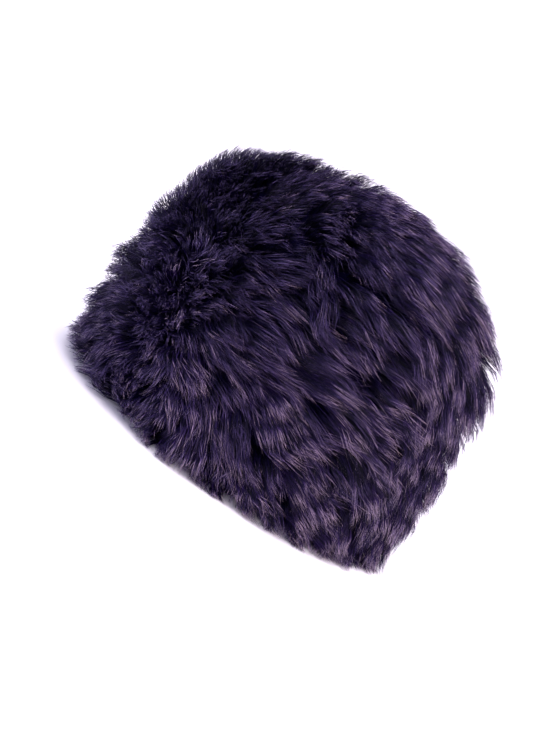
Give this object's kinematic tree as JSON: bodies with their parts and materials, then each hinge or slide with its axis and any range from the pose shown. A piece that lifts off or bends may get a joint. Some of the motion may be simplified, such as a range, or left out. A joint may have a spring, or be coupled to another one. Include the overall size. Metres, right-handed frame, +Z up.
{
  "type": "fur cossack hat",
  "caption": "Tall brimless cossack hat in long deep-pile fur, an oval tip sewn to a side band, hollow and open below",
  "frame": {"origin": "on the floor at the bottom centre of the hat, in the plane of the rim", "axes": "+Z up out of the tip, the wearer faces -Y, +X is the wearer's left"},
  "size_m": [0.2727, 0.297, 0.2244],
  "materials": {
    "side_band": "long-pile fur, dark purple",
    "crown_tip": "long-pile fur, dark purple"
  },
  "bodies": {
    "root": {"side_band": "side_band", "crown_tip": "crown_tip"}
  },
  "joints": []
}
